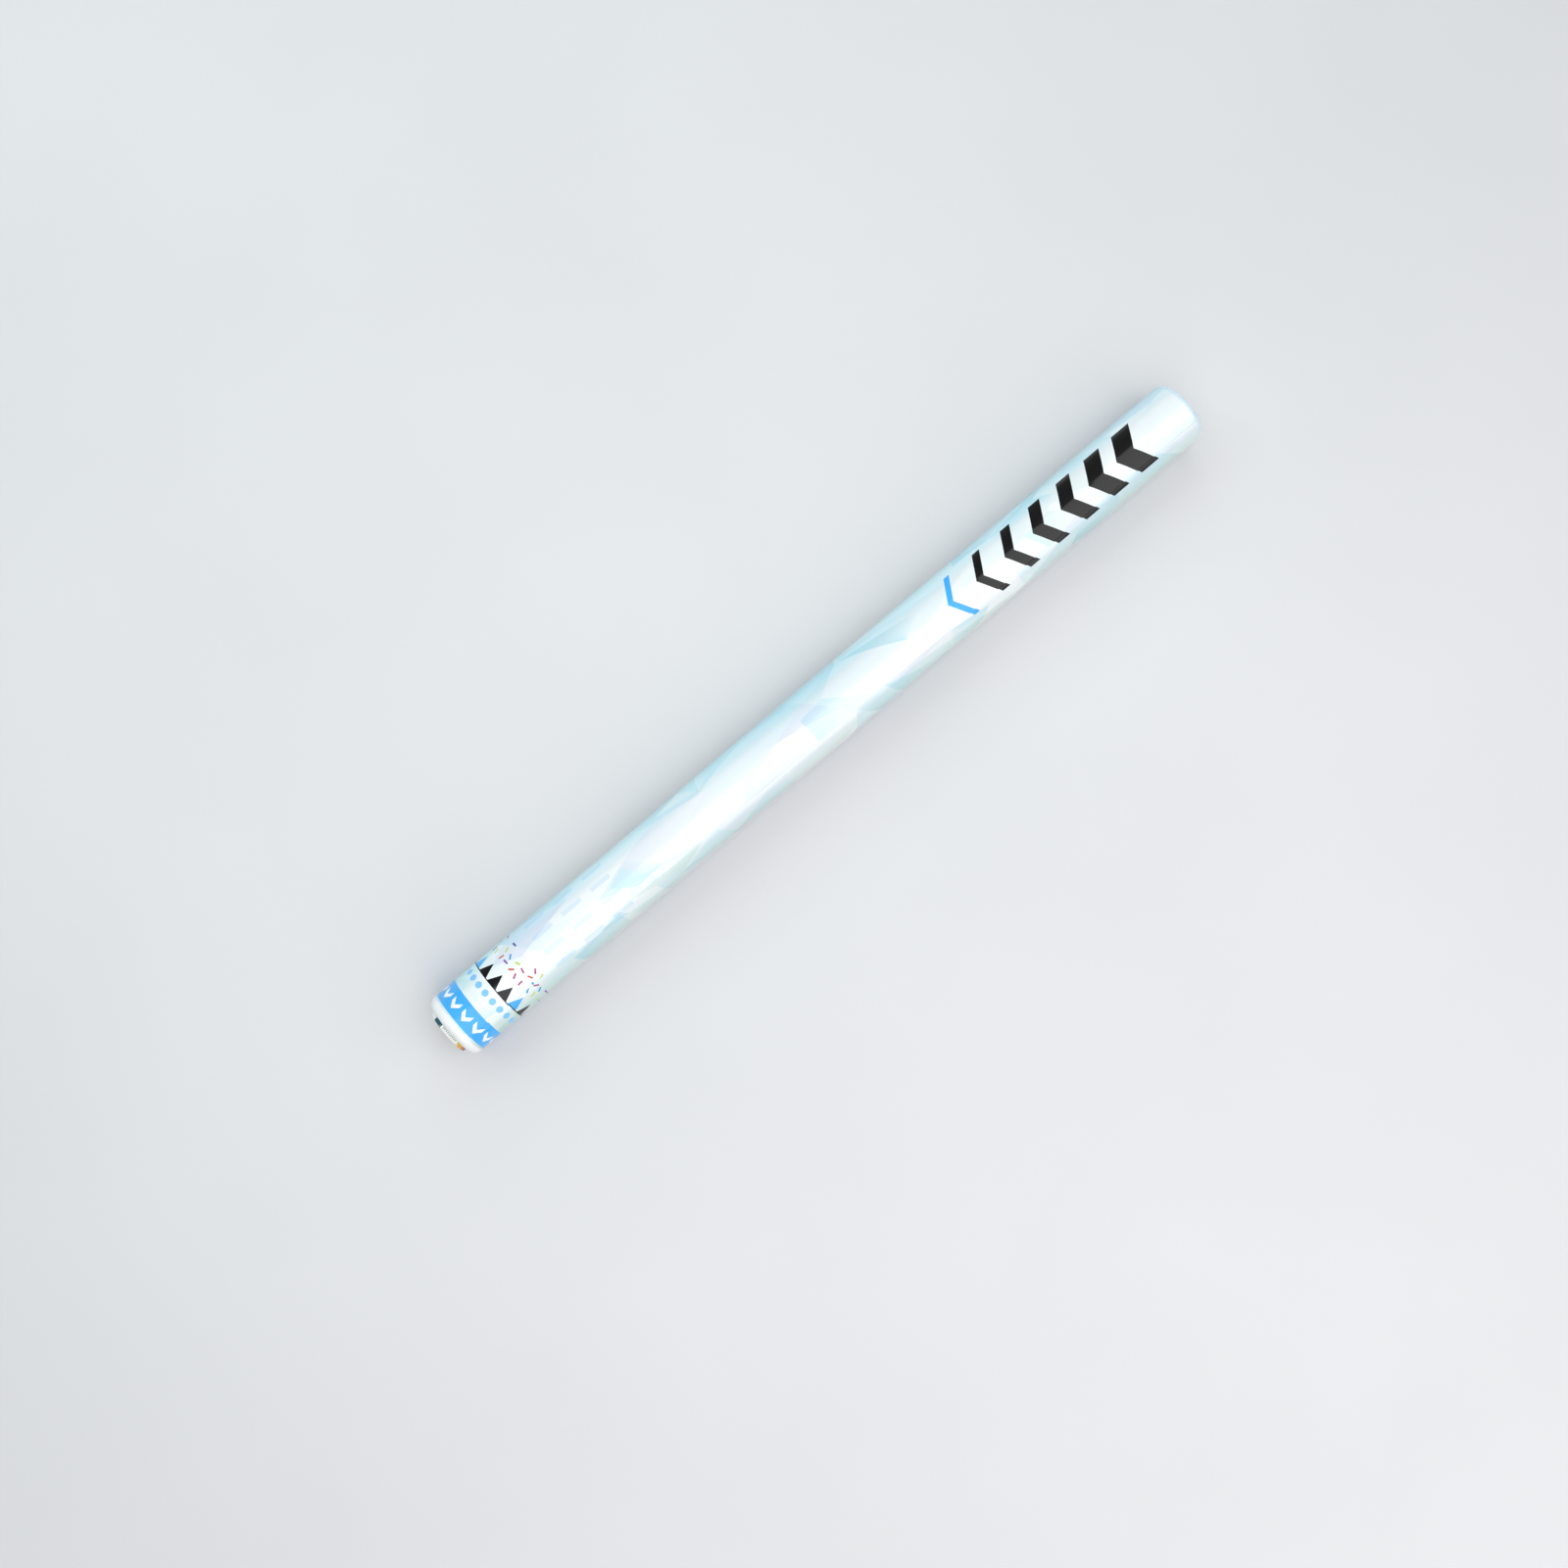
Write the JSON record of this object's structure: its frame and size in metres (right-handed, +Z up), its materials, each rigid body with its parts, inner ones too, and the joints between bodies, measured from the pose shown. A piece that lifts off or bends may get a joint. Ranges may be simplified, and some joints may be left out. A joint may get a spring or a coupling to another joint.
{
  "type": "confetti flick stick",
  "caption": "Round paper tube in a lapped pearly film wrap, closed by push-in plugs and packed with tissue slips. The plug at the mouth pulls out and a flick throws the slips.",
  "frame": {"origin": "under the middle of the stick, on the surface that it lies on", "axes": "+X along the tube towards the mouth and its closure plug, +Z up"},
  "size_m": [0.3578, 0.0254, 0.0254],
  "materials": {
    "tube_board": "spirally wound kraft board, matte",
    "wrap_film": "white pearly film with a broken-ice pattern and a printed band, glossy",
    "base_moulding": "very pale blue moulded plastic, satin",
    "closure_moulding": "white moulded plastic, satin",
    "seal_print": "printed paper seal in colour blocks, satin",
    "tissue": "purple tissue paper, matte"
  },
  "bodies": {
    "tube": {"paper_tube": "tube_board", "film_wrap": "wrap_film", "base_plug": "base_moulding"},
    "cap": {"closure_plug": "closure_moulding", "closure_seal": "seal_print"},
    "load": {"confetti_stack_1_sheaf_1": "tissue", "confetti_stack_1_sheaf_2": "tissue", "confetti_stack_1_sheaf_3": "tissue", "confetti_stack_1_sheaf_4": "tissue", "confetti_stack_2_sheaf_1": "tissue", "confetti_stack_2_sheaf_2": "tissue", "confetti_stack_2_sheaf_3": "tissue", "confetti_stack_2_sheaf_4": "tissue", "confetti_stack_3_sheaf_1": "tissue", "confetti_stack_3_sheaf_2": "tissue", "confetti_stack_3_sheaf_3": "tissue", "confetti_stack_3_sheaf_4": "tissue", "confetti_stack_4_sheaf_1": "tissue", "confetti_stack_4_sheaf_2": "tissue", "confetti_stack_4_sheaf_3": "tissue", "confetti_stack_4_sheaf_4": "tissue", "confetti_stack_5_sheaf_1": "tissue", "confetti_stack_5_sheaf_2": "tissue", "confetti_stack_5_sheaf_3": "tissue", "confetti_stack_5_sheaf_4": "tissue", "confetti_stack_6_sheaf_1": "tissue", "confetti_stack_6_sheaf_2": "tissue", "confetti_stack_6_sheaf_3": "tissue", "confetti_stack_6_sheaf_4": "tissue"}
  },
  "joints": [
    {"name": "cap_pull", "type": "slide", "parent": "tube", "child": "cap", "axis": [1, 0, 0], "range_m": [0, 0.06]},
    {"name": "load_slide", "type": "slide", "parent": "tube", "child": "load", "axis": [1, 0, 0], "range_m": [0, 0.025]}
  ]
}
